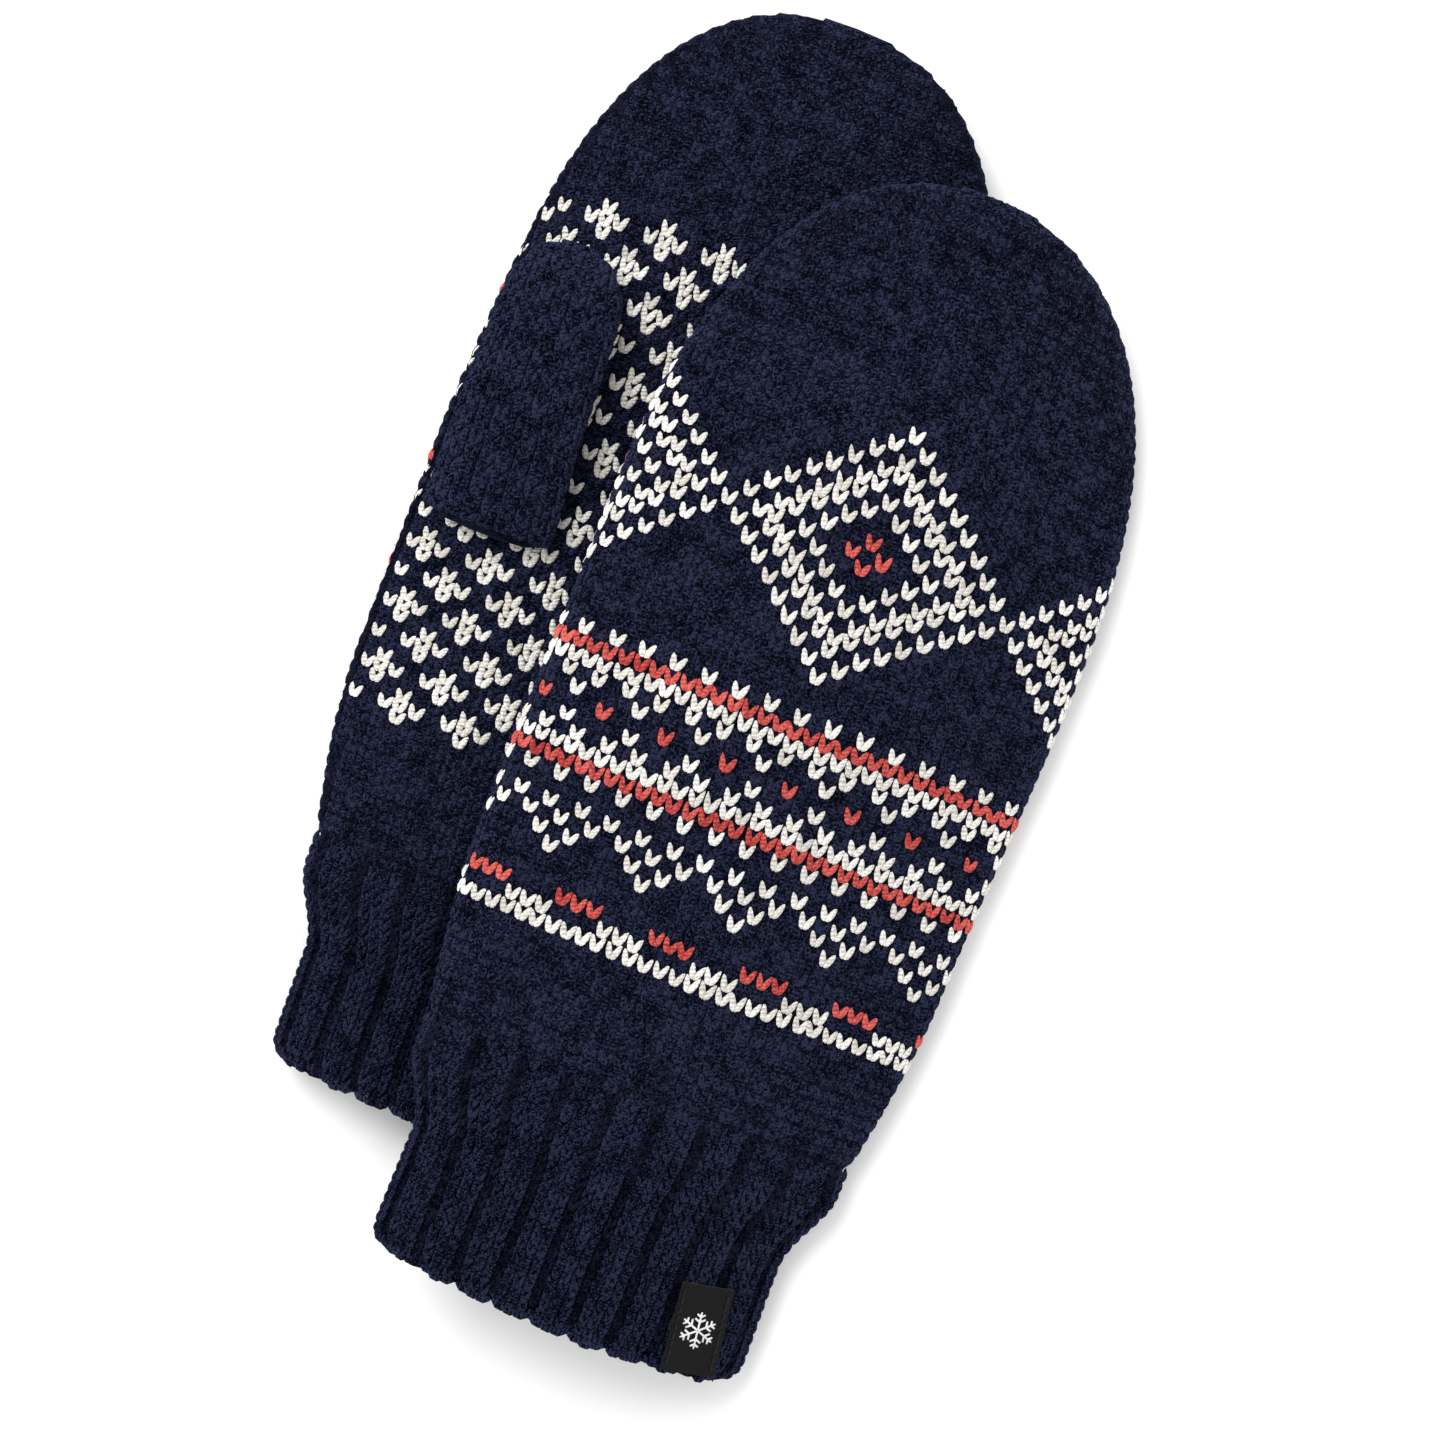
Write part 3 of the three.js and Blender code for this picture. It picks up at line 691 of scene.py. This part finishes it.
def palmColour(wale, row):
    # rows count from the lowest star's middle; stars are five-stitch crosses on a half-drop lattice
    for dc, dr in ((0, 0), (1, 0), (-1, 0), (0, 1), (0, -1)):
        star, spare = divmod(row + dr, 3)
        if not spare and 0 <= star < yarn["palmStarRows"] and (wale + dc - 1 - 2 * star) % 4 == 0:
            return "cream"
    return "navy"


def backPlace(wale, row):
    motifX, motifY = yarn["backMotifMiddle"]
    lean, tilt = yarn["backLean"]
    s = motifX + wale * yarn["backWale"] + lean * row * yarn["backRow"]
    (side, sideRun), (low, lowRun) = yarn["backSagRuns"]
    sunk = yarn["backSag"] * float(smooth((s - side) / sideRun) * smooth((row + low) / lowRun))
    t = tAt(handTable, motifY) + row * yarn["backRow"] + tilt * s - sunk
    return s, t, yarn["backWale"], yarn["backRow"]


def palmPlace(wale, row):
    # the palm's knit is stretched below the thumb, and its wales lean a little above it
    low, high = yarn["palmRow"]
    turn = (yarn["palmTurn"] - yarn["palmMotifBase"]) / low
    t = tAt(handTable, yarn["palmMotifBase"]) + min(row, turn) * low + max(0, row - turn) * high
    ease = float(smooth((t - yarn["palmEasing"][0]) / yarn["palmEasing"][1]))
    wide = yarn["palmWale"][0] + (yarn["palmWale"][1] - yarn["palmWale"][0]) * ease
    shift = yarn["palmShift"][0] + (yarn["palmShift"][1] - yarn["palmShift"][0]) * ease
    return shift + wale * wide, t, wide, low + (high - low) * ease


def handPlaces(face):
    # face +1 is the palm
    placeAt, shadeAt = (backPlace, backColour) if face < 0 else (palmPlace, palmColour)
    edge = -face * yarn["wrap"]
    places = {"navy": [], "cream": [], "coral": []}
    for r in range(*yarn["rowSpan"]):
        for c in range(*yarn["waleSpan"]):
            s, t, wide, row = placeAt(c, r)
            if not 0.1 * row <= t <= handTable["length"] - 0.3 * row:
                continue
            reach = float(reachAt(handTable, t))
            if abs(s) <= min(reach + edge, 2 * reach) - 0.35 * wide:
                shade = shadeAt(c, r)
                grow = yarn["palmCream"] if shade == "cream" and face > 0 else (1, 1)
                places[shade].append((s, t, wide * grow[0], row * grow[1], 0.0, face))
    return {shade: np.array(rows) for shade, rows in places.items() if rows}


shades = {"navy": navyWool, "cream": creamWool, "coral": coralWool}


def finish(piece, body, *nodes, slot=None):
    # "fold" is for the right mitten's knit, which is baked in place instead of being attached to a body
    if body == "fold":
        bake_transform(piece)
    else:
        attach(piece, body)
    if nodes:
        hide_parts(*nodes)
    return piece


def knitHand(side, lay, mirrored):
    for face, part in ((-1, "back"), (1, "palm")):
        for shade, places in handPlaces(face).items():
            name = f"{side}{part.capitalize()}{shade.capitalize()}Stitches"
            shape = plainStitch if shade == "navy" else knitStitch
            piece = stampStitches(name, shape, places, handTable, lay, mirrored, shades[shade])
            nodes = [f"{side}_{part}_panel"] if shade == "navy" else []
            finish(piece, "fold" if side == "right" and shade == "navy" else f"{side}_mitten", *nodes)


def ribDepth(t):
    share = smooth((cuffTable["length"] - cuff["ribFade"] - t) / cuff["ribRun"])
    return cuff["ribDepthTop"] + (cuff["ribDepthHem"] - cuff["ribDepthTop"]) * share


def knitCuff(side, lay, mirrored):
    knit, groove, mouth, hem = [], [], [], []
    rows = round(cuffTable["length"] / cuff["row"])
    row = cuffTable["length"] / rows
    wales = cuff["ridgeWales"]
    onRidge, inGroove, along = cuff["hemLoops"]
    swing, rate, shift = cuff["grooveWave"]
    for face in (-1, 1):
        grooveDepths = 1 + rng.uniform(-cuff["unevenRibs"], cuff["unevenRibs"], 2 * cuff["ribs"] + 2)
        for r in range(rows + 1):
            t = (r + cuff["rowStart"]) * row
            reach = float(reachAt(cuffTable, min(t, cuffTable["length"])))
            rib = reach / cuff["ribs"]
            depth = float(ribDepth(min(t, cuffTable["length"])))
            wide = cuff["ridge"] * rib / wales
            trough = rib * (1 - cuff["ridge"])
            for k in range(-cuff["ribs"], cuff["ribs"] + 1):
                for wale in range(wales):
                    across = (wale - (wales - 1) / 2) * wide
                    s = k * rib + across
                    spare = reach - abs(s)
                    if spare > 0.1 or (face < 0 and spare > -0.1):
                        fall = (2 * across / (cuff["ridge"] * rib)) ** 2  # ridges are rounded over
                        low = -cuff["ridgeFall"] * depth * fall
                        knit.append((s, t, wide, row, low, face))
                        if not r:
                            hem.append((s, cuff["hemAt"], wide * onRidge, row * along, low - 0.2, face))
                s = (k + 0.5) * rib
                if r and abs(s) < reach:
                    swell = 1 + swing * math.sin(rate * t + shift * k)
                    sunk = -depth * grooveDepths[k + cuff["ribs"]] * swell
                    groove.append((s, t, trough * cuff["grooveSpread"], row, sunk, face))
                    if r == 1:
                        at = cuff["hemAt"] + cuff["hemScallop"]
                        hem.append((s, at, trough * inGroove, row * along, sunk, face))
            if 0 < r < cuff["mouthRows"]:
                columns = int((reach - cuff["mouthMargin"]) / cuff["mouthWale"])
                for k in range(-columns, columns + 1):
                    mouth.append((k * cuff["mouthWale"], t, cuff["mouthWale"], row,
                                  -cuff["shell"][1] + cuff["mouthRise"], face))
    # the groove stitches take the darker navy wool as painted shade in the rib grooves
    kinds = (("Rib", plainStitch, knit, navyWool), ("Groove", plainStitch, groove, navyShadeWool),
             ("Mouth", innerStitch, mouth, navyWool), ("Hem", purlBump, hem, navyWool))
    return [stampStitches(f"{side}Cuff{kind}Stitches", shape, np.array(places), cuffTable, lay,
                          mirrored, material) for kind, shape, places, material in kinds]


def pieceFrom(bm, name, material, tint=yarn["tint"]):
    mesh = bpy.data.meshes.new(name)
    bm.to_mesh(mesh)
    bm.free()
    mesh.polygons.foreach_set("use_smooth", np.ones(len(mesh.polygons), bool))
    mesh.attributes.new("tint", "FLOAT", "POINT").data.foreach_set(
        "value", np.full(len(mesh.vertices), tint, np.float32))
    mesh.materials.append(material)
    piece = bpy.data.objects.new(name, mesh)
    bpy.context.scene.collection.objects.link(piece)
    return piece


cloth = {
    "tint": 0.4,
    "hand": (0.85, 2.2),  # depths of the two walls inside the knit's outer surface
    "lining": (2.5, 3.7),
    "thumb": (1.0,),
    "ribShare": 1.3,
    "notch": 0.6,
    "notchRun": 4,
    "tipPower": 8,
    "merge": 0.02,
}


# Cloth behind the yarn: grids laid on both faces of a chart, inside it by the two depths given, and
# joined at the open ends. Without a second depth it is a plain bag.
def clothShell(name, table, lay, material, depths, columns, rows, ribbed=False):
    bm = bmesh.new()
    wide, high = table["points"][:, -1, 0].max(), table["points"][:, 0, 2].max()
    low, top = table["y"][0], table["y"][-1]
    for level, depth in enumerate(depths):
        for face in (-1, 1):
            made = bmesh.ops.create_grid(bm, x_segments=columns, y_segments=rows, size=1)["verts"]
            uv = np.array([v.co[:2] for v in made])
            t = (uv[:, 1] + 1) / 2 * table["length"]
            u = np.sin(uv[:, 0] * math.pi / 2)
            lift = np.zeros(len(u))
            if ribbed and not level:
                lift = -cloth["ribShare"] * ribDepth(t) * (1 - np.cos(2 * math.pi * cuff["ribs"] * u)) / 2
            points = onFace(table, np.full(len(u), face), u * reachAt(table, t), t, lift)
            if ribbed:
                notch = (1 - np.cos(2 * math.pi * cuff["ribs"] * u)) / 2
                nearHem = np.maximum(0, 1 - t / cloth["notchRun"])
                points[:, 1] += cuff["hemScallop"] * cloth["notch"] * notch * nearHem
            points[:, 0] *= 1 - depth / wide
            points[:, 2] *= 1 - depth / high
            if not table["openEnds"][1]:
                points[:, 1] -= depth * ((points[:, 1] - low) / (top - low)) ** cloth["tipPower"]
            for v, p in zip(made, points):
                v.co = p
    bmesh.ops.remove_doubles(bm, verts=bm.verts[:], dist=cloth["merge"])
    middle = (low + top) / 2
    for isOpen, isHere in zip(table["openEnds"], (lambda y: y < middle, lambda y: y > middle)):
        rims = [e for e in bm.edges if e.is_boundary and isHere(e.verts[0].co.y)]
        if isOpen and len(depths) > 1:
            bmesh.ops.bridge_loops(bm, edges=rims)
        else:
            bmesh.ops.holes_fill(bm, edges=rims, sides=0)
    bmesh.ops.triangulate(bm, faces=[f for f in bm.faces if len(f.verts) > 4])
    bmesh.ops.recalc_face_normals(bm, faces=bm.faces[:])
    for v, p in zip(bm.verts, lay(np.array([v.co[:] for v in bm.verts])) * 0.001):
        v.co = p
    if bm.calc_volume(signed=True) < 0:
        bmesh.ops.reverse_faces(bm, faces=bm.faces[:])
    print(name, "open edges:", sum(e.is_boundary for e in bm.edges),
          "loose joins:", sum(not e.is_manifold for e in bm.edges))
    return pieceFrom(bm, name, material, cloth["tint"])


seam = {
    "loop": 2.6,
    "loopSpread": 1.1,
    "width": 2.2,
    "widthSpread": 1.4,
    "at": -0.35,
    "depth": 0.75,
    "sideLoop": 2.9,
    "sideWidth": 1.7,
    "sideMargin": 6,
    "sideStart": 0.7,
    "sideLift": 0.05,
}


def seamRound(side, lay, mirrored):
    # loops in the crease between hand and cuff, all the way round
    places = []
    reach = float(reachAt(handTable, 0))
    count = round(2 * reach / seam["loop"])
    for face in (-1, 1):
        for k in range(count):
            s = ((k + 0.5) / count * 2 - 1) * reach
            places.append((s, seam["at"], seam["loop"] * seam["loopSpread"],
                           seam["width"] * seam["widthSpread"], -seam["depth"], face))
    return stampStitches(f"{side}CuffSeamLoops", purlBump, np.array(places), handTable, lay,
                         mirrored, navyWool)


def seamAlong(side, lay, mirrored):
    # a linked line up both edges towards the fingertip, just inside the palm
    places = []
    count = int((handTable["length"] - seam["sideMargin"]) / seam["sideLoop"])
    for k in range(count):
        t = (k + seam["sideStart"]) * seam["sideLoop"]
        reach = float(reachAt(handTable, t))
        if reach > 2 * yarn["wrap"]:
            for edge in (-1, 1):
                s = edge * (reach - yarn["wrap"] + 0.2 * seam["sideWidth"])
                places.append((s, t, seam["sideWidth"], seam["sideLoop"], seam["sideLift"], 1))
    # the seam line takes the darker navy wool as painted shade along the seam
    return stampStitches(f"{side}SideSeamStitches", plainStitch, np.array(places), handTable, lay,
                         mirrored, navyShadeWool)


for side, lay, mirrored in (("left", layLeft, False), ("right", layRight, True)):
    knitHand(side, lay, mirrored)
    body = "fold" if side == "right" else "left_mitten"
    finish(seamRound(side, lay, mirrored), body, f"{side}_cuff_seam", slot="seam_yarn")
    finish(seamAlong(side, lay, mirrored), body, f"{side}_side_seam", slot="seam_yarn")
    print(side, "hand knitted")

for side, lay, mirrored in (("left", layLeft, False), ("right", layRight, True)):
    body = "fold" if side == "right" else "left_mitten"
    ribs, *others = knitCuff(side, lay, mirrored)
    finish(ribs, body, f"{side}_cuff")
    for piece in others:
        finish(piece, body)
    # the cloth behind the ribs and the hand's cloth bag take the darker navy wool, painted shade in the
    # gaps between stitches
    backing = clothShell(f"{side}CuffCloth", cuffTable, lay, navyShadeWool, cuff["shell"], 95, 30, ribbed=True)
    finish(backing, body)
    bag = clothShell(f"{side}HandCloth", handTable, lay, navyShadeWool, cloth["hand"], 40, 90)
    finish(bag, body)
    lining = clothShell(f"{side}HandLining", handTable, lay, liningFleece, cloth["lining"], 30, 60)
    finish(lining, body, f"{side}_hand_lining", f"{side}_thumb_seam")
print("cuffs and linings made")


def thumbPlaces():
    places = []
    rows = int(thumbTable["length"] / thumb["row"])
    for face in (-1, 1):
        for r in range(rows):
            t = (r + 0.5) * thumbTable["length"] / rows
            reach = float(reachAt(thumbTable, t))
            for c in range(-thumb["wales"], thumb["wales"] + 1):
                s = c * thumb["wale"]
                if abs(s) < reach - 0.1 * thumb["wale"]:
                    places.append((s, t, thumb["wale"], thumb["row"], 0.0, face))
    return np.array(places)


for side, lay, mirrored in (("left", layLeftThumb, False), ("right", layRightThumb, True)):
    body = f"{side}_thumb"
    stitches = stampStitches(f"{side}ThumbStitches", plainStitch, thumbPlaces(), thumbTable, lay,
                             mirrored, navyWool)
    finish(stitches, body, f"{side}_thumb")
    # the thumb's cloth takes the darker navy wool, painted shade between its stitches
    sleeve = clothShell(f"{side}ThumbCloth", thumbTable, lay, navyShadeWool, cloth["thumb"], 16, 24)
    finish(sleeve, body, f"{side}_thumb_lining")
print("thumbs knitted")

# Label
labelLow, labelHigh = (np.array(corner) * 1000 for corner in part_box("label"))
label = {
    "width": 11.8,
    "length": 19.4,
    "middle": (labelLow[0] + 4.0, (labelLow[1] + labelHigh[1]) / 2 + 0.5),
    "thickness": 0.8,
    "lift": 0.9,  # above the ribbing's outer surface
    "tilt": math.radians(6.5),
    "thread": 0.24,
    "motifArm": 4.2,
    "motifAt": 0.5,
    "stitchInset": 1.0,
    "stitchStep": 1.9,
    "edge": 0.985,  # the label stops short of the cuff's very edge
    "branches": ((0.45, 0.34), (0.72, 0.26)),  # place and length of the twigs, in arms
    "roughness": 0.6,
    "specular": 0.12,
    "waveBend": 0.4,
}


def onLabel(u, v, lift):
    # u across from the label's middle, v up from its foot, on the back of the right cuff
    turn = label["tilt"]
    v = v - label["length"] / 2
    x = label["middle"][0] - rightOrigin[0] + u * math.cos(turn) - v * math.sin(turn)
    y = label["middle"][1] - rightOrigin[1] + u * math.sin(turn) + v * math.cos(turn)
    edge = cuffHalfWidth(np.full_like(y, cuff["corner"] * 2))
    z = -(cuff["thickness"] / 2) * cushion(np.minimum(np.abs(x / edge), label["edge"])) - lift
    return layRight(np.stack([x, y, z], 1))


def weaveMaterial(name, dark, light, sheen, threadScale):
    material = makeWool(name, dark, light, sheen, (1, 1, 1, 1), fleck=0.2, bump=0.2, plyShading=0.05)
    tree = material.node_tree
    shader = next(n for n in tree.nodes if n.type == "BSDF_PRINCIPLED")
    shader.inputs["Roughness"].default_value = label["roughness"]
    shader.inputs["Specular IOR Level"].default_value = label["specular"]
    place = next(n for n in tree.nodes if n.type == "TEX_COORD").outputs["Object"]
    wave = nodeOf(tree, "ShaderNodeTexWave", (0, -700), wave_type="BANDS", bands_direction="DIAGONAL")
    wave.inputs["Scale"].default_value = threadScale
    wave.inputs["Distortion"].default_value = label["waveBend"]
    tree.links.new(place, wave.inputs["Vector"])
    relief = next(n for n in tree.nodes if n.type == "BUMP")
    height = relief.inputs["Height"].links[0].from_socket
    tree.links.new(mathNode(tree, "ADD", height, wave.outputs["Fac"], (200, -600)), relief.inputs["Height"])
    return material


labelCloth = weaveMaterial("labelCloth", colour(3, 3, 4), colour(14, 14, 17), 0.1, 700)
labelThread = weaveMaterial("labelThread", colour(5, 5, 7), colour(36, 36, 42), 0.2, 900)
motifThread = weaveMaterial("motifThread", colour(200, 200, 198), colour(250, 250, 248),
                            0.1, 900)


def makeLabel():
    bm = bmesh.new()
    bmesh.ops.create_grid(bm, x_segments=14, y_segments=18, size=0.5)
    solid = bmesh.ops.extrude_face_region(bm, geom=bm.faces[:])["geom"]
    bmesh.ops.translate(bm, verts=[g for g in solid if isinstance(g, bmesh.types.BMVert)], vec=(0, 0, 1))
    rim = [e for e in bm.edges if len(e.link_faces) == 2 and e.calc_face_angle(0) > 1
           and abs(e.verts[0].co.z - e.verts[1].co.z) < 0.5 and e.verts[0].co.z > 0.5]
    bmesh.ops.bevel(bm, geom=rim, offset=0.02, segments=2, profile=0.5, affect="EDGES", material=-1)
    bmesh.ops.recalc_face_normals(bm, faces=bm.faces[:])
    flat = np.array([v.co[:] for v in bm.verts])
    places = onLabel(flat[:, 0] * label["width"], (flat[:, 1] + 0.5) * label["length"],
                     label["lift"] + (flat[:, 2] - 1) * label["thickness"])
    for v, p in zip(bm.verts, places * 0.001):
        v.co = p
    if bm.calc_volume(signed=True) < 0:
        bmesh.ops.reverse_faces(bm, faces=bm.faces[:])
    return pieceFrom(bm, "wovenLabel", labelCloth)


def buildThread(bm):
    rings = [(0, -0.5, -0.6, 0.5, 0.4), (0, -0.38, 0.3, 1, 0.8), (0, 0.38, 0.3, 1, 0.8),
             (0, 0.5, -0.6, 0.5, 0.4)]
    return [yarnStrand(bm, rings)]


threadShape = templateFrom(buildThread)


def sewThreads(name, lines, material):
    # every line is from u, v to u, v on the label; a thread is laid along each
    points = []
    shape = threadShape["points"]
    for u0, v0, u1, v1 in lines:
        along, radius = np.array([u1 - u0, v1 - v0]), label["thread"]
        across = np.array([along[1], -along[0]]) / np.hypot(*along)
        middle = np.array([(u0 + u1) / 2, (v0 + v1) / 2])
        spot = middle + shape[:, 1:2] * along + shape[:, :1] * across * radius
        points.append(onLabel(spot[:, 0], spot[:, 1], label["lift"] + shape[:, 2] * radius))
    count, size = len(lines), len(shape)
    corners = (threadShape["corners"][None] + (np.arange(count) * size)[:, None]).ravel()
    return meshPiece(name, np.concatenate(points), corners, np.tile(threadShape["sizes"], count), material,
                     np.tile(threadShape["rings"], (count, 1)))


def snowflake():
    lines = []
    middle = (0.0, label["motifAt"] * label["length"])
    for k in range(6):
        turn = math.pi / 6 + k * math.pi / 3
        arm = np.array([math.cos(turn), math.sin(turn)]) * label["motifArm"]
        lines.append((middle[0], middle[1], middle[0] + arm[0], middle[1] + arm[1]))
        for share, reach in label["branches"]:
            root = np.array(middle) + arm * share
            for lean in (-1, 1):
                way = turn + lean * math.pi / 3
                branch = np.array([math.cos(way), math.sin(way)])
                tip = root + branch * reach * label["motifArm"]
                lines.append((*root, *tip))
    return lines


def stitchLine(u):
    count = int((label["length"] - 2) / label["stitchStep"])
    first = (label["length"] - count * label["stitchStep"]) / 2
    step = label["stitchStep"]
    return [(u, first + (k + 0.1) * step, u, first + (k + 0.85) * step) for k in range(count)]


finish(makeLabel(), "right_cuff", "label")
finish(sewThreads("labelSnowflake", snowflake(), motifThread), "right_cuff")
for part, u in (("inner", label["stitchInset"] - label["width"] / 2),
                ("outer", label["width"] / 2 - label["stitchInset"])):
    threads = sewThreads(f"labelStitches{part.capitalize()}", stitchLine(u), labelThread)
    finish(threads, "right_cuff", f"label_stitch_{part}")
print("label sewn on")

# Stage
ground = {"size": 25, "drop": 0.0002, "tone": 0.93, "roughness": 0.9}
floorMaterial = bpy.data.materials.new("paleFloor")
floorMaterial.use_nodes = True
floorShader = floorMaterial.node_tree.nodes["Principled BSDF"]
floorShader.inputs["Base Color"].default_value = (ground["tone"],) * 3 + (1,)
floorShader.inputs["Roughness"].default_value = ground["roughness"]
bm = bmesh.new()
bmesh.ops.create_grid(bm, x_segments=1, y_segments=1, size=ground["size"])
floorMesh = bpy.data.meshes.new("floor")
bm.to_mesh(floorMesh)
bm.free()
floorMesh.materials.append(floorMaterial)
floor = bpy.data.objects.new("floor", floorMesh)
floor.location.z = -ground["drop"]
bpy.context.scene.collection.objects.link(floor)

studio = {
    "key": {"at": (-0.9, 0.75, 1.5), "size": 1.1, "power": 24},
    "fill": {"at": (0.9, -0.6, 1.6), "size": 2.0, "power": 2},
    "world": 1.0,
    "cameraAt": (0.0072, -0.0099, 0.770),
    "lens": 84.5,
    "sensor": 36,
    "roll": 22,
}
for name in ("key", "fill"):
    setting = studio[name]
    data = bpy.data.lights.new(name, "AREA")
    data.shape, data.size, data.energy = "DISK", setting["size"], setting["power"]
    lamp = bpy.data.objects.new(name, data)
    lamp.location = setting["at"]
    lamp.rotation_euler = (-Vector(setting["at"])).to_track_quat("-Z", "Y").to_euler()
    bpy.context.scene.collection.objects.link(lamp)
world = bpy.data.worlds.new("studio")
world.use_nodes = True
world.node_tree.nodes["Background"].inputs[0].default_value = (1, 1, 1, 1)
world.node_tree.nodes["Background"].inputs[1].default_value = studio["world"]
bpy.context.scene.world = world
cameraData = bpy.data.cameras.new("camera")
cameraData.lens = studio["lens"]
cameraData.sensor_width = studio["sensor"]
camera = bpy.data.objects.new("camera", cameraData)
camera.location = studio["cameraAt"]
camera.rotation_euler = (0, 0, math.radians(studio["roll"]))
bpy.context.scene.collection.objects.link(camera)
bpy.context.scene.camera = camera
bpy.context.scene.view_settings.view_transform = "Standard"
print("stage set")
